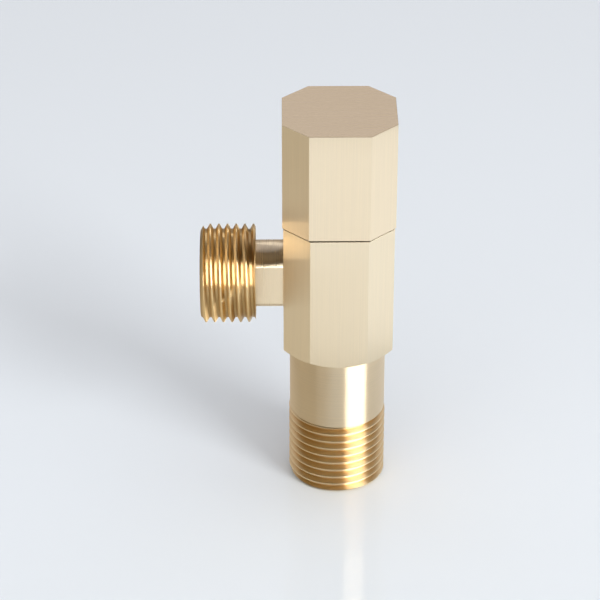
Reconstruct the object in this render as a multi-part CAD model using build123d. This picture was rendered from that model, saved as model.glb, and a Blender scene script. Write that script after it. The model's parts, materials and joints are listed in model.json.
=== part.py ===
from build123d import *
import math
import os

# Quarter-turn angle stop valve: G1/2 inlet below, G1/2 outlet nipple at the side, eight-sided handle on top.
# Millimetres. The origin is the centre of the inlet's end face, +Z runs up the inlet and spindle axis,
# the outlet points to -X and the front flat faces -Y. The valve is modelled closed.

# G1/2 pipe thread (ISO 228-1, 14 threads per inch, crests and flanks at the lower limit of class B)
THREAD_PITCH = 25.4 / 14
THREAD_CREST_R = 10.35
THREAD_PITCH_R = 19.509 / 2
THREAD_ROOT_R = 18.631 / 2
THREAD_FLANK_ANGLE = 27.5
THREAD_RUN_OUT = 0.45
THREAD_END_CHAMFER = 0.15

# Valve body
INLET_THREAD_LENGTH = 16.8
INLET_GROOVE_START = 0
INLET_ENTRY_R = 9.2
INLET_ENTRY_DEPTH = 0.7
TAIL_R = 10.18
BODY_BOTTOM = 32.7
BODY_TOP = 62.9
BODY_ACROSS_FLATS = 23.0
BODY_FLAT_WIDTH = 12.0
BODY_TURNED_R = 11.4
BODY_TURNED_ANGLE = 35
EDGE_BREAK = 0.1
INLET_BORE_R = 6.5
SEAT_BORE_R = 5.0
SEAT_CONE_BOTTOM = 34.0
SEAT_CONE_TOP = 35.5
SEAT_Z = 38.5
CHAMBER_R = 8.0
BONNET_THREAD_R = 8.7
BONNET_THREAD_BOTTOM = 56.8
MOUTH_CHAMFER = 0.5

# Outlet nipple
OUTLET_Z = 49.2
OUTLET_END_X = -28.8
OUTLET_THREAD_LENGTH = 11.5
OUTLET_GROOVE_START = -65
OUTLET_ENTRY_R = 9.05
OUTLET_ENTRY_DEPTH = 0.75
NECK_R = 7.0
NECK_HALF_FLATS = 5.5
SHANK_R = 4.35
SHANK_LENGTH = 3.3
SHANK_BORE_R = 3.25
OUTLET_BORE_R = 5.0
OUTLET_BORE_DEPTH = 11.0
OUTLET_CONE_LENGTH = 1.75
NIPPLE_SEAL_R = 5.4
NIPPLE_SEAL_DEPTH = 1.0

# Quick-open cartridge, from the seat upwards
DISC_SEAL_TOP = 40.6
DISC_SEAL_OUTER_R = 6.35
DISC_SEAL_INNER_R = 5.5
BACKING_RING_R = 4.7
CAGE_BOTTOM = 38.9
CAGE_TOP = 56.8
CAGE_OUTER_R = 7.85
CAGE_INNER_R = 6.4
CAGE_SOCKET_BOTTOM = 54.4
CAGE_SOCKET_R = 6.9
EAR_WIDTH = 3.0
EAR_R = 7.4
EAR_CLEARANCE = 0.1
WINDOW_BOTTOM = 46.2
WINDOW_TOP = 52.0
WINDOW_HALF_ANGLE = 32
SILENCER_BOTTOM = 45.4
SILENCER_TOP = 52.4
SILENCER_INNER_R = 7.2
SILENCER_SLOTS = 24
SILENCER_SLOT_WIDTH = 1.1
SILENCER_RIM = 0.9
FIXED_DISC_R = 6.35
FIXED_DISC_TOP = 43.2
MOVING_DISC_R = 6.2
MOVING_DISC_TOP = 46.0
FAN_INNER_R = 1.8
FAN_OUTER_R = 5.2
FAN_HALF_ANGLE = 40
PIN_R = 1.0
PIN_CIRCLE_R = 4.6
PIN_DEPTH = 1.0
PIN_CLEARANCE = 0.05
DRIVER_WING_TOP = 47.2
DRIVER_WING_HALF_ANGLE = 32
DRIVER_TOP = 49.8
DRIVER_WIDTH = 4.2
DRIVER_LENGTH = 7.8
DRIVER_SLOT_BOTTOM = 46.9
TONGUE_BOTTOM = 47.0
TONGUE_WIDTH = 2.1
TONGUE_LENGTH = 5.4
TONGUE_CLEARANCE = 0.05

# Quarter-turn stop: two dogs under the spindle's collar run between two ribs inside the cage
RIB_BOTTOM = 52.6
RIB_TOP = 54.2
RIB_INNER_R = 4.2
RIB_HALF_ANGLE = 19.5
DOG_BOTTOM = 52.8
DOG_OUTER_R = 6.2
DOG_HALF_ANGLE = 24.5
DOG_CLOSED_ANGLE = -45

# Spindle and bonnet
HUB_BOTTOM = 50.0
HUB_R = 4.0
COLLAR_BOTTOM = 54.3
COLLAR_TOP = 56.0
COLLAR_R = 5.6
JOURNAL_R = 4.5
JOURNAL_TOP = 72.8
JOURNAL_CLEARANCE = 0.05
RECESS_R = 5.8
RECESS_TOP = 56.6
BONNET_THREAD_START = 57.0
GLAND_R = 3.15
GLAND_HEIGHT = 1.8
O_RING_CLEARANCE = 0.04
GLAND_HEIGHTS = {"spindle_o_ring_lower": 60.4, "spindle_o_ring_upper": 65.4}
GASKET_TOP = 63.7
GASKET_INNER_R = 8.8
FLANGE_R = 9.8
FLANGE_TOP = 65.2
HEX_ACROSS_FLATS = 16.0
HEX_TOP = 69.0
BONNET_TOP = 71.0
BONNET_NECK_R = 6.6
WASHER_TOP = 71.5
WASHER_R = 6.4
CIRCLIP_TOP = 72.3
CIRCLIP_GROOVE_R = 3.9
CIRCLIP_R = 5.3
CIRCLIP_SHIFT = 0.35
CIRCLIP_GAP_HALF_ANGLE = 16
CIRCLIP_EAR_R = 1.1
CIRCLIP_EAR_HOLE_R = 0.5
CIRCLIP_EAR_CIRCLE_R = 5.4
CIRCLIP_EAR_ANGLE = 27

# Splined handle
SPLINE_TEETH = 20
SPLINE_TIP_R = 4.0
SPLINE_ROOT_R = 3.55
SPLINE_TOP = 82.0
SPLINE_CLEARANCE = 0.05
SPLINE_TIP_PART = 0.14
SPLINE_ROOT_PART = 0.36
SOCKET_TOP = 82.5
HANDLE_BOTTOM = 63.25
HANDLE_TOP = 86.95
HANDLE_ACROSS_FLATS = 23.4
HANDLE_FLAT_WIDTH = 12.5
HANDLE_BORE_R = 10.2
HANDLE_BORE_TOP = 72.9
SCREW_Z = 77.5
SCREW_R = 2.0
SCREW_TIP_R = 1.25
SCREW_TIP_Y = 3.25
SCREW_SHOULDER_Y = 4.6
SCREW_HEAD_Y = 11.1
SCREW_SOCKET_ACROSS_FLATS = 2.0
SCREW_SOCKET_DEPTH = 2.2
SCREW_CHAMFER = 0.3
SCREW_GROOVE_R = 3.2
SCREW_GROOVE_HEIGHT = 4.0

# How far two features of one piece reach into each other where they join
JOIN = 0.2
# Solids are built upwards from their own middle
STANDING = (Align.CENTER, Align.CENTER, Align.MIN)


def post(radius, bottom, top):
    """An upright cylinder on the spindle axis."""
    return Pos(0, 0, bottom) * Cylinder(radius, top - bottom, align=STANDING)


def tube(inner_r, outer_r, bottom, top):
    """A plain ring or sleeve on the spindle axis."""
    return post(outer_r, bottom, top) - post(inner_r, bottom, top)


def turned(outline):
    """A solid of revolution about Z from an outline of (radius, height) corners."""
    return revolve(Plane.XZ * make_face(Polyline(*outline, close=True)), axis=Axis.Z)


def sector(inner_r, outer_r, centre, half_angle, bottom, top):
    """The part of a sleeve within half_angle of the direction centre, in degrees."""
    reach = 2 * outer_r
    across = reach * math.tan(math.radians(half_angle))
    wedge = make_face(Polyline((0, 0), (reach, across), (reach, -across), close=True))
    wedge = extrude(Pos(0, 0, bottom) * Rot(0, 0, centre) * wedge, top - bottom)
    return tube(inner_r, outer_r, bottom, top) & wedge


def slab(width, length, bottom, top):
    """An upright block on the spindle axis, width along X and length along Y."""
    return Pos(0, 0, bottom) * Box(width, length, top - bottom, align=STANDING)


def eight_sided_bar(across_flats, flat_width, bottom, top):
    """A square bar whose four corners are cut back at 45 degrees."""
    square = Rectangle(across_flats, across_flats)
    outline = chamfer(square.vertices(), (across_flats - flat_width) / 2)
    return Pos(0, 0, bottom) * extrude(outline, top - bottom)


def hexagonal_bar(across_flats, bottom, top):
    """A hexagonal bar on the spindle axis."""
    outline = RegularPolygon(across_flats / 2, 6, major_radius=False)
    return Pos(0, 0, bottom) * extrude(outline, top - bottom)


def thread_groove(length):
    """The helical groove of a right-hand pipe thread, running past both ends of its length."""
    def half_width(radius):
        flank = math.tan(math.radians(THREAD_FLANK_ANGLE))
        return THREAD_PITCH / 4 + (radius - THREAD_PITCH_R) * flank

    outside_r = THREAD_CREST_R + THREAD_RUN_OUT
    start = -THREAD_PITCH
    corners = [
        (THREAD_ROOT_R, start - half_width(THREAD_ROOT_R)),
        (outside_r, start - half_width(outside_r)),
        (outside_r, start + half_width(outside_r)),
        (THREAD_ROOT_R, start + half_width(THREAD_ROOT_R)),
    ]
    profile = Plane.XZ * make_face(Polyline(*corners, close=True))
    path = Helix(THREAD_PITCH, length + 2 * THREAD_PITCH, THREAD_PITCH_R, center=(0, 0, start))
    return sweep(profile, path=path, is_frenet=True)


def pipe_thread(length, start_angle, entry_r, entry_depth):
    """A solid threaded spigot from its entry end at z = 0 up to z = length."""
    blank = turned([
        (0, 0),
        (entry_r, 0),
        (THREAD_CREST_R, entry_depth),
        (THREAD_CREST_R, length - THREAD_END_CHAMFER),
        (THREAD_CREST_R - THREAD_END_CHAMFER, length),
        (0, length),
    ])
    return Rot(0, 0, start_angle) * (blank - thread_groove(length))


def along_outlet(piece):
    """Lays a piece built along +Z on the outlet axis, its z = 0 at the outlet's end face."""
    return Pos(OUTLET_END_X, 0, OUTLET_Z) * Rot(0, 90, 0) * piece


def break_edges(bar, axis_edges, end_faces):
    """Rounds the long edges of a bar and the outline of its end faces."""
    edges = list(axis_edges)
    for face in end_faces:
        edges += list(face.outer_wire().edges())
    return fillet(edges, EDGE_BREAK)


def make_valve_body():
    """Brass body: threaded inlet, smooth tail and eight-sided housing, bored for the cartridge."""
    bar = eight_sided_bar(BODY_ACROSS_FLATS, BODY_FLAT_WIDTH, BODY_BOTTOM, BODY_TOP)
    upright_edges = bar.edges().filter_by(Axis.Z)
    bar = break_edges(bar, upright_edges, [bar.faces().sort_by(Axis.Z)[-1]])
    corner_r = BODY_ACROSS_FLATS
    cone_rise = (corner_r - BODY_TURNED_R) * math.tan(math.radians(BODY_TURNED_ANGLE))
    turned_envelope = turned([
        (0, BODY_BOTTOM),
        (BODY_TURNED_R, BODY_BOTTOM),
        (corner_r, BODY_BOTTOM + cone_rise),
        (corner_r, BODY_TOP),
        (0, BODY_TOP),
    ])
    body = bar & turned_envelope
    body += post(TAIL_R, INLET_THREAD_LENGTH, BODY_BOTTOM)
    body += pipe_thread(INLET_THREAD_LENGTH, INLET_GROOVE_START, INLET_ENTRY_R, INLET_ENTRY_DEPTH)

    bore_mouth = INLET_BORE_R + MOUTH_CHAMFER
    waterway = turned([
        (0, 0),
        (bore_mouth, 0),
        (INLET_BORE_R, MOUTH_CHAMFER),
        (INLET_BORE_R, SEAT_CONE_BOTTOM),
        (SEAT_BORE_R, SEAT_CONE_TOP),
        (SEAT_BORE_R, SEAT_Z),
        (CHAMBER_R, SEAT_Z),
        (CHAMBER_R, BONNET_THREAD_BOTTOM),
        (BONNET_THREAD_R, BONNET_THREAD_BOTTOM),
        (BONNET_THREAD_R, BODY_TOP),
        (0, BODY_TOP),
    ])
    flat_depth = -OUTLET_END_X - BODY_ACROSS_FLATS / 2
    tapped_hole = post(SHANK_R, flat_depth, -OUTLET_END_X)
    seal_recess = post(NIPPLE_SEAL_R, flat_depth, flat_depth + NIPPLE_SEAL_DEPTH)
    return body - waterway - along_outlet(tapped_hole) - along_outlet(seal_recess)


def make_outlet_nipple():
    """Threaded outlet collar on a neck with two wrench flats and a shank that screws into the body."""
    neck_end = -OUTLET_END_X - BODY_ACROSS_FLATS / 2
    neck = post(NECK_R, OUTLET_THREAD_LENGTH, neck_end)
    neck &= slab(2 * NECK_R, 2 * NECK_HALF_FLATS, OUTLET_THREAD_LENGTH, neck_end)
    nipple = pipe_thread(OUTLET_THREAD_LENGTH, OUTLET_GROOVE_START, OUTLET_ENTRY_R, OUTLET_ENTRY_DEPTH)
    nipple += neck
    nipple += post(SHANK_R, neck_end, neck_end + SHANK_LENGTH)
    bore = turned([
        (0, 0),
        (OUTLET_BORE_R + MOUTH_CHAMFER, 0),
        (OUTLET_BORE_R, MOUTH_CHAMFER),
        (OUTLET_BORE_R, OUTLET_BORE_DEPTH),
        (SHANK_BORE_R, OUTLET_BORE_DEPTH + OUTLET_CONE_LENGTH),
        (SHANK_BORE_R, neck_end + SHANK_LENGTH),
        (0, neck_end + SHANK_LENGTH),
    ])
    return along_outlet(nipple - bore)


def make_nipple_o_ring():
    """Rubber ring under the nipple's shoulder, in the recess of the body."""
    section_r = NIPPLE_SEAL_DEPTH / 2
    depth = -OUTLET_END_X - BODY_ACROSS_FLATS / 2 + section_r
    return along_outlet(Pos(0, 0, depth) * Torus(SHANK_R + section_r, section_r))


def make_bonnet():
    """Brass bonnet of the cartridge: screwed into the body, it carries the spindle."""
    bonnet = post(CAGE_SOCKET_R, CAGE_SOCKET_BOTTOM, BONNET_THREAD_START)
    bonnet += post(BONNET_THREAD_R, BONNET_THREAD_START, GASKET_TOP)
    bonnet += post(FLANGE_R, GASKET_TOP, FLANGE_TOP)
    bonnet += hexagonal_bar(HEX_ACROSS_FLATS, FLANGE_TOP, HEX_TOP)
    bonnet += post(BONNET_NECK_R, HEX_TOP, BONNET_TOP)
    bonnet -= post(RECESS_R, CAGE_SOCKET_BOTTOM, RECESS_TOP)
    return bonnet - post(JOURNAL_R + JOURNAL_CLEARANCE, RECESS_TOP, BONNET_TOP)


def make_bonnet_gasket():
    """Rubber gasket between the body's top and the bonnet's flange."""
    return tube(GASKET_INNER_R, FLANGE_R, BODY_TOP, GASKET_TOP)


def make_disc_cage():
    """Cage snapped on the bonnet: it holds the discs, lets the water out and carries the stop ribs."""
    cage = tube(CAGE_INNER_R, CAGE_OUTER_R, CAGE_BOTTOM, CAGE_TOP)
    cage -= post(CAGE_SOCKET_R, CAGE_SOCKET_BOTTOM, CAGE_TOP)
    cage -= tube(SILENCER_INNER_R, 2 * CAGE_OUTER_R, SILENCER_BOTTOM, SILENCER_TOP)
    for side in (0, 90, 180, 270):
        cage -= sector(CAGE_INNER_R / 2, 2 * CAGE_OUTER_R, side, WINDOW_HALF_ANGLE, WINDOW_BOTTOM, WINDOW_TOP)
    ear_slot = slab(4 * CAGE_OUTER_R, EAR_WIDTH + 2 * EAR_CLEARANCE, CAGE_BOTTOM, FIXED_DISC_TOP + EAR_CLEARANCE)
    cage -= ear_slot
    for side in (90, 270):
        cage += sector(RIB_INNER_R, CAGE_INNER_R + JOIN, side, RIB_HALF_ANGLE, RIB_BOTTOM, RIB_TOP)
    return cage


def make_silencer_ring():
    """Slotted plastic ring over the cage's windows, which quietens the flow."""
    ring = tube(SILENCER_INNER_R, CAGE_OUTER_R, SILENCER_BOTTOM, SILENCER_TOP)
    slot = slab(SILENCER_SLOT_WIDTH, 4 * CAGE_OUTER_R, SILENCER_BOTTOM + SILENCER_RIM, SILENCER_TOP - SILENCER_RIM)
    for number in range(SILENCER_SLOTS // 2):
        ring -= Rot(0, 0, 360 / SILENCER_SLOTS * number) * slot
    return ring


def make_disc_seat_seal():
    """Rubber ring pressed between the body's seat and the fixed disc."""
    return tube(DISC_SEAL_INNER_R, DISC_SEAL_OUTER_R, SEAT_Z, DISC_SEAL_TOP)


def make_seal_backing_ring():
    """Plastic ring inside the seat seal, which stops it being washed inwards."""
    return tube(BACKING_RING_R, DISC_SEAL_INNER_R, CAGE_BOTTOM, DISC_SEAL_TOP)


def fan_openings(centre, bottom, top):
    """The two opposite fan-shaped waterways of a ceramic disc."""
    first = sector(FAN_INNER_R, FAN_OUTER_R, centre, FAN_HALF_ANGLE, bottom, top)
    return first + sector(FAN_INNER_R, FAN_OUTER_R, centre + 180, FAN_HALF_ANGLE, bottom, top)


def make_fixed_disc():
    """Lower ceramic disc, held still by two ears in the cage's slots."""
    disc = post(FIXED_DISC_R, DISC_SEAL_TOP, FIXED_DISC_TOP)
    disc += slab(2 * EAR_R, EAR_WIDTH, DISC_SEAL_TOP, FIXED_DISC_TOP)
    return disc - fan_openings(90, DISC_SEAL_TOP, FIXED_DISC_TOP)


def make_moving_disc():
    """Upper ceramic disc: closed, its openings lie over the solid part of the fixed disc."""
    disc = post(MOVING_DISC_R, FIXED_DISC_TOP, MOVING_DISC_TOP)
    disc -= fan_openings(0, FIXED_DISC_TOP, MOVING_DISC_TOP)
    hole = post(PIN_R + PIN_CLEARANCE, MOVING_DISC_TOP - PIN_DEPTH - PIN_CLEARANCE, MOVING_DISC_TOP)
    for side in (-1, 1):
        disc -= Pos(0, side * PIN_CIRCLE_R, 0) * hole
    return disc


def make_disc_driver():
    """Plastic driver: two pins turn the moving disc and a slot takes the spindle's tongue."""
    driver = slab(DRIVER_WIDTH, DRIVER_LENGTH, MOVING_DISC_TOP, DRIVER_TOP)
    for side in (90, 270):
        driver += sector(DRIVER_WIDTH / 2, MOVING_DISC_R, side, DRIVER_WING_HALF_ANGLE, MOVING_DISC_TOP,
                         DRIVER_WING_TOP)
    for side in (-1, 1):
        driver += Pos(0, side * PIN_CIRCLE_R, 0) * post(PIN_R, MOVING_DISC_TOP - PIN_DEPTH, DRIVER_WING_TOP)
    slot_width = TONGUE_WIDTH + 2 * TONGUE_CLEARANCE
    slot_length = TONGUE_LENGTH + 2 * TONGUE_CLEARANCE
    return driver - slab(slot_width, slot_length, DRIVER_SLOT_BOTTOM, DRIVER_TOP)


def spline_bar(tip_r, root_r, bottom, top):
    """A bar with straight-sided spline teeth, whose corners lie at parts of the tooth's angle."""
    tooth_corners = (
        (root_r, -SPLINE_ROOT_PART),
        (tip_r, -SPLINE_TIP_PART),
        (tip_r, SPLINE_TIP_PART),
        (root_r, SPLINE_ROOT_PART),
    )
    corners = []
    for number in range(SPLINE_TEETH):
        for radius, part in tooth_corners:
            angle = 2 * math.pi / SPLINE_TEETH * (number + part)
            corners.append((radius * math.cos(angle), radius * math.sin(angle)))
    outline = make_face(Polyline(*corners, close=True))
    return Pos(0, 0, bottom) * extrude(outline, top - bottom)


def make_spindle():
    """Brass spindle: tongue, stop dogs, collar, sealed journal and the spline for the handle."""
    spindle = slab(TONGUE_WIDTH, TONGUE_LENGTH, TONGUE_BOTTOM, HUB_BOTTOM)
    spindle += post(HUB_R, HUB_BOTTOM, COLLAR_BOTTOM)
    for side in (DOG_CLOSED_ANGLE, DOG_CLOSED_ANGLE + 180):
        spindle += sector(HUB_R - JOIN, DOG_OUTER_R, side, DOG_HALF_ANGLE, DOG_BOTTOM, COLLAR_BOTTOM)
    spindle += post(COLLAR_R, COLLAR_BOTTOM, COLLAR_TOP)
    spindle += post(JOURNAL_R, COLLAR_TOP, JOURNAL_TOP)
    spindle += spline_bar(SPLINE_TIP_R, SPLINE_ROOT_R, JOURNAL_TOP, SPLINE_TOP)
    for middle in GLAND_HEIGHTS.values():
        spindle -= tube(GLAND_R, 2 * JOURNAL_R, middle - GLAND_HEIGHT / 2, middle + GLAND_HEIGHT / 2)
    spindle -= tube(CIRCLIP_GROOVE_R, 2 * JOURNAL_R, WASHER_TOP, CIRCLIP_TOP)
    half_groove = SCREW_GROOVE_HEIGHT / 2
    return spindle - tube(SCREW_GROOVE_R, 2 * JOURNAL_R, SCREW_Z - half_groove, SCREW_Z + half_groove)


def make_spindle_o_ring(middle):
    """Rubber ring in a groove of the spindle, just clear of the bonnet's bore."""
    outer_r = JOURNAL_R + JOURNAL_CLEARANCE - O_RING_CLEARANCE
    section_r = (outer_r - GLAND_R) / 2
    return Pos(0, 0, middle) * Torus(GLAND_R + section_r, section_r)


def make_lower_slip_washer():
    """Slippery washer between the spindle's collar and the bonnet."""
    return tube(JOURNAL_R + JOURNAL_CLEARANCE, RECESS_R - 2 * JOURNAL_CLEARANCE, COLLAR_TOP, RECESS_TOP)


def make_upper_slip_washer():
    """Slippery washer between the bonnet's top and the circlip."""
    return tube(JOURNAL_R + JOURNAL_CLEARANCE, WASHER_R, BONNET_TOP, WASHER_TOP)


def make_circlip():
    """Spring clip in the spindle's groove, with two eared ends beside its gap."""
    clip = Pos(0, -CIRCLIP_SHIFT, 0) * post(CIRCLIP_R, WASHER_TOP, CIRCLIP_TOP)
    ear_places = []
    for side in (-1, 1):
        ear_places.append(Rot(0, 0, 90 + side * CIRCLIP_EAR_ANGLE) * Pos(CIRCLIP_EAR_CIRCLE_R, 0, 0))
    for place in ear_places:
        clip += place * post(CIRCLIP_EAR_R, WASHER_TOP, CIRCLIP_TOP)
    clip -= post(CIRCLIP_GROOVE_R, WASHER_TOP, CIRCLIP_TOP)
    clip -= sector(CIRCLIP_GROOVE_R / 2, 2 * CIRCLIP_R, 90, CIRCLIP_GAP_HALF_ANGLE, WASHER_TOP, CIRCLIP_TOP)
    for place in ear_places:
        clip -= place * post(CIRCLIP_EAR_HOLE_R, WASHER_TOP, CIRCLIP_TOP)
    return clip


def along_screw(piece):
    """Lays a piece built along +Z on the set screw's axis, which runs out to the rear along +Y."""
    return Pos(0, 0, SCREW_Z) * Rot(-90, 0, 0) * piece


def make_handle():
    """Eight-sided brass handle: hollow below, over the bonnet, and broached for the spline above."""
    bar = eight_sided_bar(HANDLE_ACROSS_FLATS, HANDLE_FLAT_WIDTH, HANDLE_BOTTOM, HANDLE_TOP)
    faces = bar.faces().sort_by(Axis.Z)
    handle = break_edges(bar, bar.edges().filter_by(Axis.Z), [faces[0], faces[-1]])
    handle -= post(HANDLE_BORE_R, HANDLE_BOTTOM, HANDLE_BORE_TOP)
    socket_tip_r = SPLINE_TIP_R + SPLINE_CLEARANCE
    socket_root_r = SPLINE_ROOT_R + SPLINE_CLEARANCE
    handle -= spline_bar(socket_tip_r, socket_root_r, HANDLE_BORE_TOP, SOCKET_TOP)
    return handle - along_screw(post(SCREW_R, SCREW_TIP_R, HANDLE_ACROSS_FLATS / 2))


def make_set_screw():
    """Socket set screw in the handle's rear flat, its tip in the spindle's groove."""
    screw = turned([
        (0, SCREW_TIP_Y),
        (SCREW_TIP_R, SCREW_TIP_Y),
        (SCREW_TIP_R, SCREW_SHOULDER_Y),
        (SCREW_R - SCREW_CHAMFER, SCREW_SHOULDER_Y),
        (SCREW_R, SCREW_SHOULDER_Y + SCREW_CHAMFER),
        (SCREW_R, SCREW_HEAD_Y - SCREW_CHAMFER),
        (SCREW_R - SCREW_CHAMFER, SCREW_HEAD_Y),
        (0, SCREW_HEAD_Y),
    ])
    key_socket = hexagonal_bar(SCREW_SOCKET_ACROSS_FLATS, SCREW_HEAD_Y - SCREW_SOCKET_DEPTH, SCREW_HEAD_Y)
    return along_screw(screw - key_socket)


def make_all():
    """Every piece of the valve, by name."""
    pieces = {
        "valve_body": make_valve_body(),
        "outlet_nipple": make_outlet_nipple(),
        "nipple_o_ring": make_nipple_o_ring(),
        "cartridge_bonnet": make_bonnet(),
        "bonnet_gasket": make_bonnet_gasket(),
        "disc_cage": make_disc_cage(),
        "silencer_ring": make_silencer_ring(),
        "disc_seat_seal": make_disc_seat_seal(),
        "seal_backing_ring": make_seal_backing_ring(),
        "fixed_ceramic_disc": make_fixed_disc(),
        "moving_ceramic_disc": make_moving_disc(),
        "disc_driver": make_disc_driver(),
        "spindle": make_spindle(),
        "lower_slip_washer": make_lower_slip_washer(),
        "upper_slip_washer": make_upper_slip_washer(),
        "spindle_circlip": make_circlip(),
        "handle": make_handle(),
        "handle_set_screw": make_set_screw(),
    }
    for name, middle in GLAND_HEIGHTS.items():
        pieces[name] = make_spindle_o_ring(middle)
    return pieces


os.makedirs("parts", exist_ok=True)
for node, piece in make_all().items():
    export_step(piece, f"parts/{node}.step")
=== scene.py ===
"""Looks of the angle stop valve: its brass, its inner pieces, the floor, the lights and the camera."""

import json
import math

import bpy
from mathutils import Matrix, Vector

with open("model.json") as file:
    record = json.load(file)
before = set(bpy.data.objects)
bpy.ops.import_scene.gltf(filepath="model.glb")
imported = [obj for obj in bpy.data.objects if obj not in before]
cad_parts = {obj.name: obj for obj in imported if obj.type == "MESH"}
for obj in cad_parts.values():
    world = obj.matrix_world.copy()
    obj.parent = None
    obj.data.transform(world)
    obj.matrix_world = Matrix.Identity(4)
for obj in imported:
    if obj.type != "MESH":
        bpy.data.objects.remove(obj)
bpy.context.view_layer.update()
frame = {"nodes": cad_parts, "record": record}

# Lengths are in metres, angles in degrees and colours linear, unless a comment says otherwise.
MM = 0.001
MOUNTS = {mount["name"]: mount for mount in frame["record"]["mounts"]}

# Directions along an axis, and the factors that keep only the parts of a vector across it
ALONG_X = (1, 0, 0)
ALONG_Y = (0, 1, 0)
ALONG_Z = (0, 0, 1)
ACROSS_X = (0, 1, 1)
ACROSS_Z = (1, 1, 0)

# Camera. The lens and the sensor are in millimetres.
LENS = 147.9
SENSOR = 36.0
CLIP_START = 0.01
CLIP_END = 50
CAMERA_PITCH = 30.66
CAMERA_YAW = 0.40
CAMERA_DISTANCE = 0.5216
TARGET = (-0.008, 0.0, 0.0425)

# Brass colours. Each groove colour is darker than its crest colour: painted shade in the thread's grooves.
HANDLE_BRASS = (0.955, 0.79, 0.555)
SATIN_BRASS = (0.94, 0.79, 0.56)
TURNED_BRASS = (0.93, 0.755, 0.51)
INLET_CREST = (0.97, 0.77, 0.47)
INLET_GROOVE_SHADE = (0.84, 0.59, 0.29)
OUTLET_CREST = (0.90, 0.66, 0.34)
OUTLET_GROOVE_SHADE = (0.57, 0.40, 0.19)
RAW_BRASS = (0.90, 0.64, 0.32)
BORE_BRASS = (0.80, 0.56, 0.26)

# Roughness of each brass finish
SIDE_ROUGHNESS = 0.32
TOP_ROUGHNESS = 0.25
TAIL_ROUGHNESS = 0.34
NECK_ROUGHNESS = 0.29
THREAD_ROUGHNESS = 0.36
INNER_ROUGHNESS = 0.3

# Brush lines: how many to a metre across and along them, and what their streaks change.
# The ranges are what a streak adds to the roughness and how it multiplies the colour.
ANISOTROPY = 1.0
LINES_ACROSS = 5000
LINES_ALONG = 45
STREAK_DETAIL = 4.0
STREAK_FINENESS = 0.62
STREAK_SHADE = (0.95, 1.03)
STREAK_ROUGHNESS = (-0.03, 0.04)
STREAK_HEIGHT = 6e-7

# The part of the noise's 0 to 1 that is mapped to a full change
NOISE_RANGE = (0.3, 0.7)
WIDE_NOISE_RANGE = (0.25, 0.75)

# Borders between colours. Down from a thread's crest, the crest's colour ends at the first depth
# and the groove's darker colour, painted shade, is reached at the second. The bores lie within a share of
# the thread's radius.
CREST_DEPTH = 0.05 * MM
GROOVE_DEPTH = 0.95 * MM
BORE_SHARE = 0.88

# A border at the end of a thread has a little room, and the top is what faces up by this much of 1
BORDER_ROOM = 0.02 * MM
TOP_FACES_UP = 0.7

# Grained finishes: colour, roughness, and the grain's size and height
GRAINED = {
    "black_rubber": {"rgb": (0.018, 0.018, 0.019), "roughness": 0.62, "grain": 0.12 * MM, "height": 6e-6},
    "ceramic": {"rgb": (0.86, 0.85, 0.82), "roughness": 0.16, "grain": 0.06 * MM, "height": 5e-7},
    "white_acetal": {"rgb": (0.80, 0.80, 0.77), "roughness": 0.38, "grain": 0.2 * MM, "height": 3e-6},
    "grey_plastic": {"rgb": (0.22, 0.23, 0.25), "roughness": 0.42, "grain": 0.2 * MM, "height": 4e-6},
    "spring_steel": {
        "rgb": (0.30, 0.30, 0.31), "roughness": 0.35, "grain": 0.1 * MM, "height": 2e-6, "metallic": 1.0,
    },
    "stainless": {
        "rgb": (0.60, 0.60, 0.61), "roughness": 0.30, "grain": 0.1 * MM, "height": 2e-6, "metallic": 1.0,
    },
}
GRAIN_DETAIL = 3.0
GRAIN_ROUGHNESS = (-0.05, 0.07)
CLOUDS_PER_METRE = 250
CLOUD_SHADE = 0.86

# Lights for the floor's shade, which reflections don't show.
# Azimuth 0 is the front and positive is to the right.
KEY_AZIMUTH = 43
KEY_ELEVATION = 32
KEY_DISTANCE = 2.0
KEY_SIZE = (0.70, 0.70)
KEY_RADIANCE = 12.5
FILL_AZIMUTH = 0
FILL_ELEVATION = 70
FILL_DISTANCE = 1.5
FILL_SIZE = (2.4, 2.4)
FILL_RADIANCE = 1.45

# Gloss lights, each seen only in the reflections of certain pieces: a softbox at the front right
# for the body, one at the front for the outlet, and a level panel over the front for the handle
KEY_GLOSS_ELEVATION = 14
KEY_GLOSS_SIZE = (1.70, 0.94)
KEY_GLOSS_RADIANCE = 12.0
OUTLET_GLOSS_AZIMUTH = 5
OUTLET_GLOSS_ELEVATION = 25
OUTLET_GLOSS_SIZE = (1.00, 2.04)
OUTLET_GLOSS_RADIANCE = 11.0
PANEL_PLACE = (0, -1.35, 1.0)
PANEL_SIZE = (9.0, 3.3)
PANEL_RADIANCE = 0.44

# A small warm glow by the outlet's collar, for the left faces of the body and the handle
GLOW_PLACE = (-0.0165, -0.0075, 0.0575)
GLOW_SIZE = (0.010, 0.009)
GLOW_RADIANCE = 0.50
GLOW_TINT = (1.0, 0.80, 0.55)

# Low cool reflectors that stand on the floor: azimuth and radiance of each
REFLECTOR_DISTANCE = 0.07
REFLECTOR_SIZE = (0.16, 0.055)
REFLECTORS = {"front_reflector": (0, 0.22), "right_reflector": (90, 0.27)}
REFLECTOR_TINT = (0.90, 1.0, 1.2)

# Surroundings: bright behind, dark and warm in front, overhead and along the horizon.
# The dark front turns into the bright back between two cosines from straight backwards,
# and the horizon and the ceiling fade into the walls between two elevations.
BRIGHT_SIDE = (0.76, 0.73, 0.77)
DARK_SIDE = (0.06, 0.04, 0.02)
OVERHEAD = (0.03, 0.022, 0.015)
HORIZON = (0.17, 0.14, 0.10)
BACK_FADE = (0.3, 0.7)
HORIZON_FADE = (12, 22)
CEILING_FADE = (60, 68)
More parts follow.
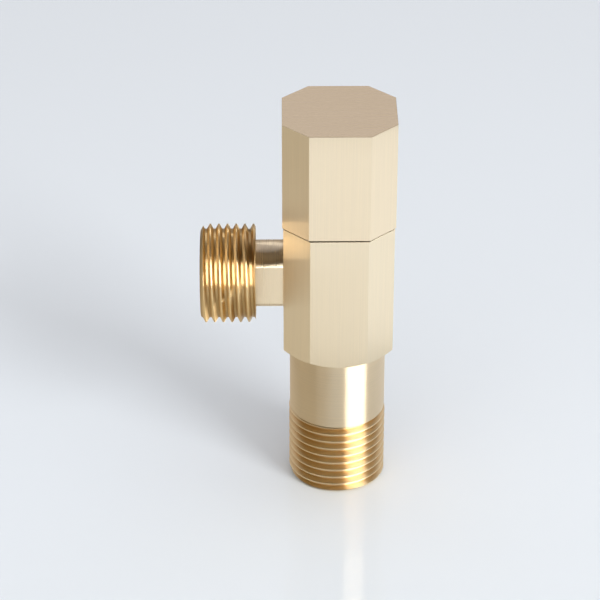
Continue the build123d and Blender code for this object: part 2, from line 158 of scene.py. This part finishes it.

# Floor, and the card on it: painted shade, a dim warm glow that the valve reflects as shaded floor.
# The card's colour fades between two places in card widths from its centre
FLOOR_COLOUR = (0.755, 0.81, 0.86)
FLOOR_ROUGHNESS = 0.07
FLOOR_SPECULAR = 0.3
FLOOR_RADIUS = 4.0
FLOOR_CORNERS = 64
CARD_CENTRE = (-0.110, 0.01, 0.0002)
CARD_SIZE = (0.192, 0.24)
CARD_FADE = (-0.25, 0.15)
CARD_FAR = (0.44, 0.38, 0.27)
CARD_NEAR = (0.62, 0.58, 0.50)

# The Mix node's sockets for each kind of value: low input, high input and result
MIX_SOCKETS = {"RGBA": (6, 7, 2), "VECTOR": (4, 5, 1), "FLOAT": (2, 3, 0)}


class Tree:
    """A node tree with short calls to add nodes and join them."""

    def __init__(self, owner):
        owner.use_nodes = True
        self.tree = owner.node_tree
        self.tree.nodes.clear()

    def add(self, kind, **settings):
        """Adds a node with the given settings."""
        node = self.tree.nodes.new(kind)
        for name, value in settings.items():
            setattr(node, name, value)
        return node

    def feed(self, socket, value):
        """Links an output to a socket, or sets the socket's own value."""
        if isinstance(value, bpy.types.NodeSocket):
            self.tree.links.new(value, socket)
        else:
            socket.default_value = value

    def point(self):
        """The place on the surface, in the object's own coordinates."""
        return self.add("ShaderNodeTexCoord").outputs["Object"]

    def normal(self):
        """The direction that the surface faces."""
        return self.add("ShaderNodeNewGeometry").outputs["Normal"]

    def part(self, vector, name):
        """The X, Y or Z of a vector."""
        split = self.add("ShaderNodeSeparateXYZ")
        self.feed(split.inputs[0], vector)
        return split.outputs[name]

    def math(self, operation, first, second):
        """A calculation with two numbers."""
        node = self.add("ShaderNodeMath", operation=operation)
        self.feed(node.inputs[0], first)
        self.feed(node.inputs[1], second)
        return node.outputs[0]

    def vector(self, operation, first, second=(0, 0, 0)):
        """A calculation with one vector or two."""
        node = self.add("ShaderNodeVectorMath", operation=operation)
        self.feed(node.inputs[0], first)
        self.feed(node.inputs[1], second)
        return node.outputs["Value" if operation in ("DOT_PRODUCT", "LENGTH") else "Vector"]

    def mix(self, factor, low, high, kind="RGBA", blend="MIX"):
        """Mixes two colours, vectors or floats by a factor."""
        low_input, high_input, result = MIX_SOCKETS[kind]
        node = self.add("ShaderNodeMix", data_type=kind, blend_type=blend)
        self.feed(node.inputs[0], factor)
        self.feed(node.inputs[low_input], low)
        self.feed(node.inputs[high_input], high)
        return node.outputs[result]

    def noise(self, vector, scale=1.0, detail=2.0, roughness=0.5):
        """Cloudy noise from 0 to 1."""
        node = self.add("ShaderNodeTexNoise")
        self.feed(node.inputs["Vector"], vector)
        self.feed(node.inputs["Scale"], scale)
        self.feed(node.inputs["Detail"], detail)
        self.feed(node.inputs["Roughness"], roughness)
        return node.outputs["Fac"]

    def between(self, value, limits, results=(0.0, 1.0)):
        """Maps a value from one range to another, held at the ends."""
        node = self.add("ShaderNodeMapRange", clamp=True)
        for socket, number in zip(node.inputs, (value, *limits, *results)):
            self.feed(socket, number)
        return node.outputs[0]

    def bump(self, height, distance):
        """The normal of a surface whose height, from 0 to 1, stands for a distance."""
        node = self.add("ShaderNodeBump")
        node.inputs["Strength"].default_value = 1.0
        node.inputs["Distance"].default_value = distance
        self.feed(node.inputs["Height"], height)
        return node.outputs["Normal"]

    def finish(self, output_kind, surface):
        """Ends the tree with an output node for the given shader."""
        self.feed(self.add(output_kind).inputs["Surface"], surface)

    def principled(self, **values):
        """Ends a material's tree with a Principled shader that has the given inputs."""
        shader = self.add("ShaderNodeBsdfPrincipled")
        for name, value in values.items():
            self.feed(shader.inputs[name.replace("_", " ")], value)
        self.finish("ShaderNodeOutputMaterial", shader.outputs["BSDF"])


def new_material(name):
    """A material and its empty tree."""
    material = bpy.data.materials.new(name)
    return material, Tree(material)


def colour(rgb):
    """A colour with full alpha."""
    return (*rgb, 1.0)


def brushed_lines(tree, point, axis):
    """Coordinates of straight brush lines: they change slowly along the axis and fast across it."""
    scale = [LINES_ALONG if part else LINES_ACROSS for part in axis]
    return tree.vector("MULTIPLY", point, scale)


def turned_lines(tree, point, axis):
    """Coordinates of lines that run round the axis: they change fast only along it."""
    scale = [LINES_ACROSS if part else LINES_ALONG for part in axis]
    return tree.vector("MULTIPLY", point, scale)


def radius_round(tree, point, mount, across):
    """How far the surface is from a mount's axis, which runs across the two given directions."""
    offset = tree.vector("SUBTRACT", point, mount["pos_m"])
    return tree.vector("LENGTH", tree.vector("MULTIPLY", offset, across))


def thread_colour_with_groove_shade(tree, radius, mount, shaded_groove_rgb, crest_rgb):
    """Raw brass that darkens from the thread's crests into its grooves: painted shade in the grooves."""
    crest = mount["dims"]["r_mm"] * MM
    height = tree.between(radius, (crest - GROOVE_DEPTH, crest - CREST_DEPTH))
    return tree.mix(height, colour(shaded_groove_rgb), colour(crest_rgb))


def satin_finish(tree, lines, tangent, rgb, roughness):
    """Brushed brass: streaked colour, roughness and height along the brush lines.

    The gloss is wide along the tangent, which runs across the brush lines.
    """
    streak = tree.noise(lines, detail=STREAK_DETAIL, roughness=STREAK_FINENESS)
    shade = tree.between(streak, WIDE_NOISE_RANGE, STREAK_SHADE)
    tree.principled(
        Base_Color=tree.mix(1.0, rgb, shade, blend="MULTIPLY"),
        Metallic=1.0,
        Roughness=tree.math("ADD", roughness, tree.between(streak, NOISE_RANGE, STREAK_ROUGHNESS)),
        Anisotropic=ANISOTROPY,
        Tangent=tangent,
        Normal=tree.bump(streak, STREAK_HEIGHT),
    )


def make_body_brass():
    """Satin brass with vertical brushing, a turned tail, a raw machined thread and raw bores."""
    material, tree = new_material("body_brass")
    thread = MOUNTS["inlet_thread"]
    thread_top = thread["dims"]["length_mm"] * MM
    tail_top = thread_top + MOUNTS["tail_sleeve"]["dims"]["length_mm"] * MM
    point = tree.point()
    z = tree.part(point, "Z")
    radius = radius_round(tree, point, thread, ACROSS_Z)
    above_thread = tree.math("GREATER_THAN", z, thread_top - BORDER_ROOM)
    in_housing = tree.math("GREATER_THAN", z, tail_top)
    outside = tree.math("GREATER_THAN", radius, thread["dims"]["r_mm"] * MM * BORE_SHARE)

    turned = turned_lines(tree, point, ALONG_Z)
    lines = tree.mix(in_housing, turned, brushed_lines(tree, point, ALONG_Z), "VECTOR")
    level = tree.vector("CROSS_PRODUCT", ALONG_Z, tree.normal())
    tangent = tree.mix(in_housing, ALONG_Z, level, "VECTOR")

    # Painted shade: the thread's grooves are coloured darker than its crests.
    threaded = thread_colour_with_groove_shade(tree, radius, thread, INLET_GROOVE_SHADE, INLET_CREST)
    smooth = tree.mix(in_housing, colour(TURNED_BRASS), colour(SATIN_BRASS))
    worked = tree.mix(above_thread, threaded, smooth)
    rgb = tree.mix(outside, colour(BORE_BRASS), worked)
    round_roughness = tree.mix(above_thread, THREAD_ROUGHNESS, TAIL_ROUGHNESS, "FLOAT")
    roughness = tree.mix(in_housing, round_roughness, SIDE_ROUGHNESS, "FLOAT")
    satin_finish(tree, lines, tangent, rgb, roughness)
    return material


def make_handle_brass():
    """Satin brass: vertical brushing on the sides, brushing along X on the top."""
    material, tree = new_material("handle_brass")
    point = tree.point()
    normal = tree.normal()
    on_top = tree.math("GREATER_THAN", tree.vector("DOT_PRODUCT", normal, ALONG_Z), TOP_FACES_UP)
    upright = brushed_lines(tree, point, ALONG_Z)
    lines = tree.mix(on_top, upright, brushed_lines(tree, point, ALONG_X), "VECTOR")
    level = tree.vector("CROSS_PRODUCT", ALONG_Z, normal)
    tangent = tree.mix(on_top, level, ALONG_Y, "VECTOR")
    roughness = tree.mix(on_top, SIDE_ROUGHNESS, TOP_ROUGHNESS, "FLOAT")
    satin_finish(tree, lines, tangent, colour(HANDLE_BRASS), roughness)
    return material


def make_nipple_brass():
    """Raw machined brass on the threaded collar, satin on the neck."""
    material, tree = new_material("nipple_brass")
    thread = MOUNTS["outlet_thread"]
    thread_end = thread["pos_m"][0] + thread["dims"]["length_mm"] / 2 * MM
    point = tree.point()
    on_neck = tree.math("GREATER_THAN", tree.part(point, "X"), thread_end + BORDER_ROOM)
    radius = radius_round(tree, point, thread, ACROSS_X)
    # Painted shade: the thread's grooves are coloured darker than its crests.
    threaded = thread_colour_with_groove_shade(tree, radius, thread, OUTLET_GROOVE_SHADE, OUTLET_CREST)
    rgb = tree.mix(on_neck, threaded, colour(SATIN_BRASS))
    roughness = tree.mix(on_neck, THREAD_ROUGHNESS, NECK_ROUGHNESS, "FLOAT")
    satin_finish(tree, turned_lines(tree, point, ALONG_X), ALONG_X, rgb, roughness)
    return material


def make_inner_brass():
    """Raw turned brass of the bonnet and spindle."""
    material, tree = new_material("inner_brass")
    lines = turned_lines(tree, tree.point(), ALONG_Z)
    satin_finish(tree, lines, ALONG_Z, colour(RAW_BRASS), INNER_ROUGHNESS)
    return material


def make_grained(name, rgb, roughness, grain, height, metallic=0.0):
    """A moulded, lapped or plated surface with a fine grain in its colour, gloss and height."""
    material, tree = new_material(name)
    point = tree.point()
    grains = tree.noise(point, scale=1 / grain, detail=GRAIN_DETAIL)
    clouds = tree.noise(point, scale=CLOUDS_PER_METRE)
    darker = [part * CLOUD_SHADE for part in rgb]
    rough_limits = [roughness + change for change in GRAIN_ROUGHNESS]
    tree.principled(
        Base_Color=tree.mix(clouds, colour(darker), colour(rgb)),
        Metallic=metallic,
        Roughness=tree.between(grains, NOISE_RANGE, rough_limits),
        Normal=tree.bump(grains, height),
    )
    return material


def assign_materials():
    """Gives every node the material of its record slot."""
    made = {
        "body_brass": make_body_brass(),
        "handle_brass": make_handle_brass(),
        "nipple_brass": make_nipple_brass(),
        "inner_brass": make_inner_brass(),
    }
    for name, surface in GRAINED.items():
        made[name] = make_grained(name, **surface)
    for subpart in frame["record"]["subparts"]:
        node = frame["nodes"][subpart["node"]]
        for slot in node.material_slots:
            slot.material = made[subpart["material_slot"]]


def make_floor():
    """A plain pale floor that the valve stands on."""
    bpy.ops.mesh.primitive_circle_add(vertices=FLOOR_CORNERS, radius=FLOOR_RADIUS, fill_type="NGON")
    floor = bpy.context.object
    floor.name = "floor"
    material, tree = new_material("floor_pale")
    tree.principled(
        Base_Color=colour(FLOOR_COLOUR), Roughness=FLOOR_ROUGHNESS, Specular_IOR_Level=FLOOR_SPECULAR
    )
    floor.data.materials.append(material)


def sines(elevations):
    """The heights of unit directions at the given elevations."""
    return [math.sin(math.radians(elevation)) for elevation in elevations]


def make_world():
    """Studio surroundings: bright behind the valve, dark in front of it, overhead and along the horizon."""
    world = bpy.data.worlds.new("studio")
    bpy.context.scene.world = world
    tree = Tree(world)
    direction = tree.add("ShaderNodeTexCoord").outputs["Generated"]
    height = tree.part(direction, "Z")
    level = tree.vector("NORMALIZE", tree.vector("MULTIPLY", direction, ACROSS_Z))
    behind = tree.between(tree.vector("DOT_PRODUCT", level, ALONG_Y), BACK_FADE)
    sides = tree.mix(behind, colour(DARK_SIDE), colour(BRIGHT_SIDE))
    above_horizon = tree.between(height, sines(HORIZON_FADE))
    walls = tree.mix(above_horizon, colour(HORIZON), sides)
    in_ceiling = tree.between(height, sines(CEILING_FADE))
    background = tree.add("ShaderNodeBackground")
    tree.feed(background.inputs["Color"], tree.mix(in_ceiling, walls, colour(OVERHEAD)))
    tree.finish("ShaderNodeOutputWorld", background.outputs["Background"])


def make_shaded_floor_card():
    """Painted shade: a one-sided card on the floor at the left, glowing dim and warm, that only the valve's
    reflections see.
    """
    bpy.ops.mesh.primitive_plane_add(size=1)
    card = bpy.context.object
    card.name = "shaded_floor_card"
    card.scale = (*CARD_SIZE, 1)
    card.location = CARD_CENTRE
    material, tree = new_material("shaded_floor_card")
    nearness = tree.between(tree.part(tree.point(), "X"), CARD_FADE)
    glow = tree.add("ShaderNodeEmission")
    # The glow is painted shade of the floor: darker away from the valve, lighter near it.
    tree.feed(glow.inputs["Color"], tree.mix(nearness, colour(CARD_FAR), colour(CARD_NEAR)))
    one_sided = tree.add("ShaderNodeMixShader")
    underside = tree.add("ShaderNodeNewGeometry").outputs["Backfacing"]
    clear = tree.add("ShaderNodeBsdfTransparent").outputs["BSDF"]
    for socket, value in zip(one_sided.inputs, (underside, glow.outputs["Emission"], clear)):
        tree.feed(socket, value)
    tree.finish("ShaderNodeOutputMaterial", one_sided.outputs["Shader"])
    card.data.materials.append(material)
    for ray in ("camera", "diffuse", "transmission", "volume_scatter", "shadow"):
        setattr(card, "visible_" + ray, False)


def spherical(azimuth, elevation, distance):
    """A point at a distance from the target; azimuth 0 is the front (-Y) and positive is to the right."""
    turn = math.radians(azimuth)
    rise = math.radians(elevation)
    ahead = distance * math.cos(rise)
    offset = Vector((ahead * math.sin(turn), -ahead * math.cos(turn), distance * math.sin(rise)))
    return Vector(TARGET) + offset


def place_and_aim(name, data, place, towards=TARGET):
    """Puts a light or camera in the scene at a place, looking at a point."""
    thing = bpy.data.objects.new(name, data)
    bpy.context.collection.objects.link(thing)
    thing.location = place
    thing.rotation_euler = (Vector(towards) - place).to_track_quat("-Z", "Y").to_euler()
    return thing


def area_light(name, place, size, radiance, tint=(1, 1, 1), towards=TARGET):
    """A rectangular soft light that faces a point and shines with a given radiance."""
    width, height = size
    data = bpy.data.lights.new(name, "AREA")
    data.shape = "RECTANGLE"
    data.size = width
    data.size_y = height
    data.energy = radiance * math.pi * width * height
    data.color = tint
    light = place_and_aim(name, data, place, towards)
    light.visible_camera = False
    return light


def floor_light(name, place, size, radiance):
    """A light that gives soft shade but isn't seen in reflections."""
    area_light(name, place, size, radiance).visible_glossy = False


def collection_of(name, nodes):
    """A collection that tells a light which pieces it is meant for."""
    collection = bpy.data.collections.new(name)
    for node in nodes:
        collection.objects.link(node)
    return collection


def gloss_light(name, place, size, radiance, pieces, **more):
    """A light that is seen only in the reflections of the given pieces."""
    light = area_light(name, place, size, radiance, **more)
    light.visible_diffuse = False
    light.light_linking.receiver_collection = pieces


def make_floor_lights():
    """The key softbox and the fill, which give the floor its light and the valve's shadow."""
    floor_light("key", spherical(KEY_AZIMUTH, KEY_ELEVATION, KEY_DISTANCE), KEY_SIZE, KEY_RADIANCE)
    floor_light("fill", spherical(FILL_AZIMUTH, FILL_ELEVATION, FILL_DISTANCE), FILL_SIZE, FILL_RADIANCE)


def make_gloss_lights():
    """The softboxes, the panel and the glow that certain pieces reflect."""
    nodes = frame["nodes"]
    body = collection_of("body_piece", [nodes["valve_body"]])
    body_place = spherical(KEY_AZIMUTH, KEY_GLOSS_ELEVATION, KEY_DISTANCE)
    gloss_light("key_gloss", body_place, KEY_GLOSS_SIZE, KEY_GLOSS_RADIANCE, body)

    outlet = collection_of("outlet_piece", [nodes["outlet_nipple"]])
    outlet_place = spherical(OUTLET_GLOSS_AZIMUTH, OUTLET_GLOSS_ELEVATION, KEY_DISTANCE)
    gloss_light("outlet_gloss", outlet_place, OUTLET_GLOSS_SIZE, OUTLET_GLOSS_RADIANCE, outlet)

    handle = collection_of("handle_piece", [nodes["handle"]])
    panel_place = Vector(PANEL_PLACE)
    below_panel = panel_place - Vector(ALONG_Z)
    gloss_light("top_panel", panel_place, PANEL_SIZE, PANEL_RADIANCE, handle, towards=below_panel)

    upright = collection_of("upright_pieces", [nodes["valve_body"], nodes["handle"]])
    glow_place = Vector(GLOW_PLACE)
    beside_glow = glow_place + Vector(ALONG_X)
    gloss_light(
        "collar_glow", glow_place, GLOW_SIZE, GLOW_RADIANCE, upright, tint=GLOW_TINT, towards=beside_glow
    )


def make_reflectors():
    """The low reflectors round the inlet, which every piece reflects."""
    whole = collection_of("valve_pieces", frame["nodes"].values())
    for name, (azimuth, radiance) in REFLECTORS.items():
        turn = math.radians(azimuth)
        place = Vector((math.sin(turn), -math.cos(turn), 0)) * REFLECTOR_DISTANCE
        place.z = REFLECTOR_SIZE[1] / 2
        gloss_light(name, place, REFLECTOR_SIZE, radiance, whole, tint=REFLECTOR_TINT)


def make_camera():
    """The camera, above the front and looking down at the valve."""
    data = bpy.data.cameras.new("camera")
    data.lens = LENS
    data.sensor_width = SENSOR
    data.clip_start = CLIP_START
    data.clip_end = CLIP_END
    place = spherical(-CAMERA_YAW, CAMERA_PITCH, CAMERA_DISTANCE)
    bpy.context.scene.camera = place_and_aim("camera", data, place)


assign_materials()
make_floor()
make_world()
make_shaded_floor_card()
make_floor_lights()
make_gloss_lights()
make_reflectors()
make_camera()
bpy.context.scene.view_settings.view_transform = "Standard"
